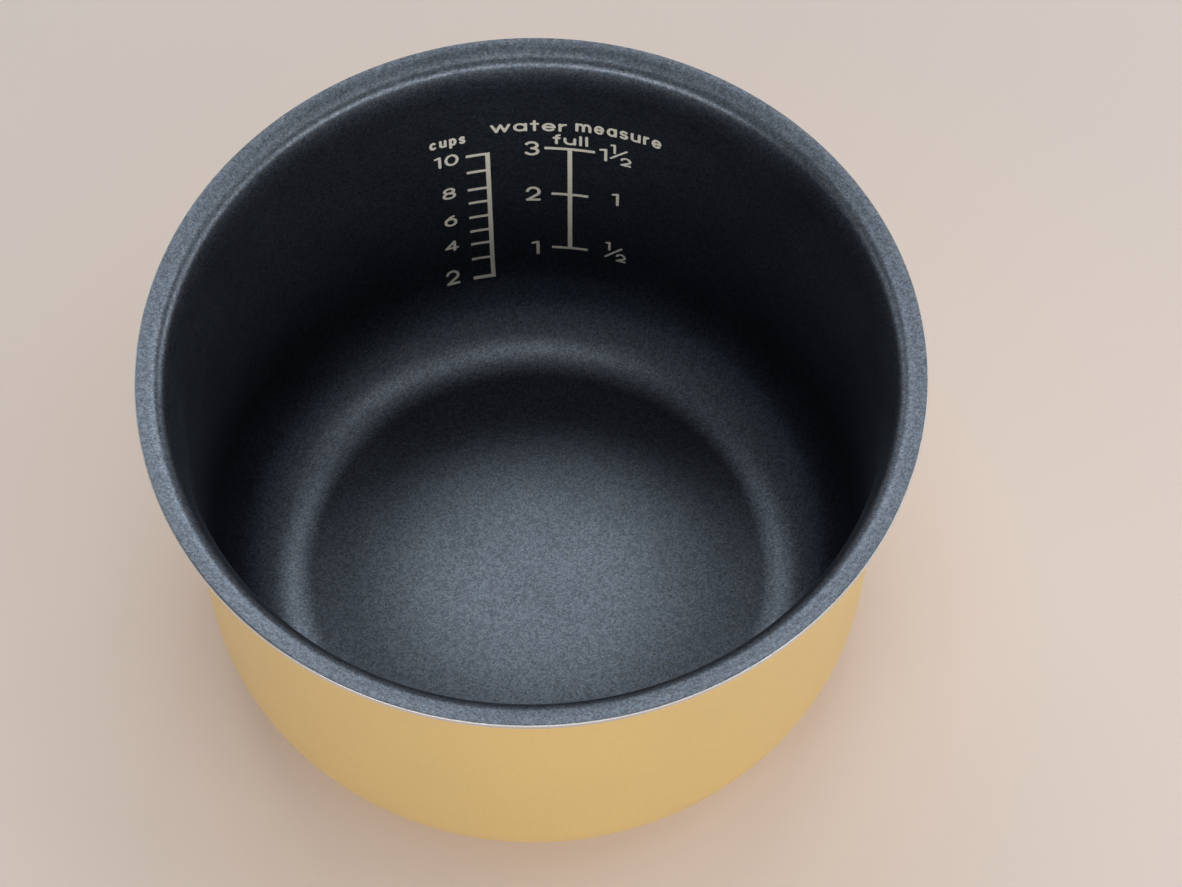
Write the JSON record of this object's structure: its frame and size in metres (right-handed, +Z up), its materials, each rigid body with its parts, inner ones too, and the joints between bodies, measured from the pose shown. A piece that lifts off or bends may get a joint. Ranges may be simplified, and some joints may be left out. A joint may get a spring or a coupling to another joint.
{
  "type": "rice cooker inner pot",
  "caption": "Deep round inner cooking pot of a rice cooker: sloping rim flange, dark non-stick inside with printed level scales, gold outside, rounded base corner.",
  "frame": {"origin": "centre of the underside, on the surface the pot stands on", "axes": "+Z up along the pot's axis, +Y from the axis towards the printed level scales, +X to the right when looking at the scales"},
  "size_m": [0.24, 0.24, 0.141],
  "materials": {
    "bare_aluminium": "bare aluminium: polished cut edge on the rim, fine turned lines on the heater face under the base",
    "nonstick_lining": "satin dark grey non-stick coat with a fine bluish metallic speckle",
    "gold_lacquer": "satin gold heat-resistant lacquer with a very fine metallic grain",
    "cream_ink": "matt cream printed ink"
  },
  "bodies": {
    "root": {"pot_shell": "bare_aluminium", "nonstick_lining": "nonstick_lining", "gold_outer_coat": "gold_lacquer", "rice_scale_print": "cream_ink", "water_scale_print": "cream_ink"}
  },
  "joints": []
}
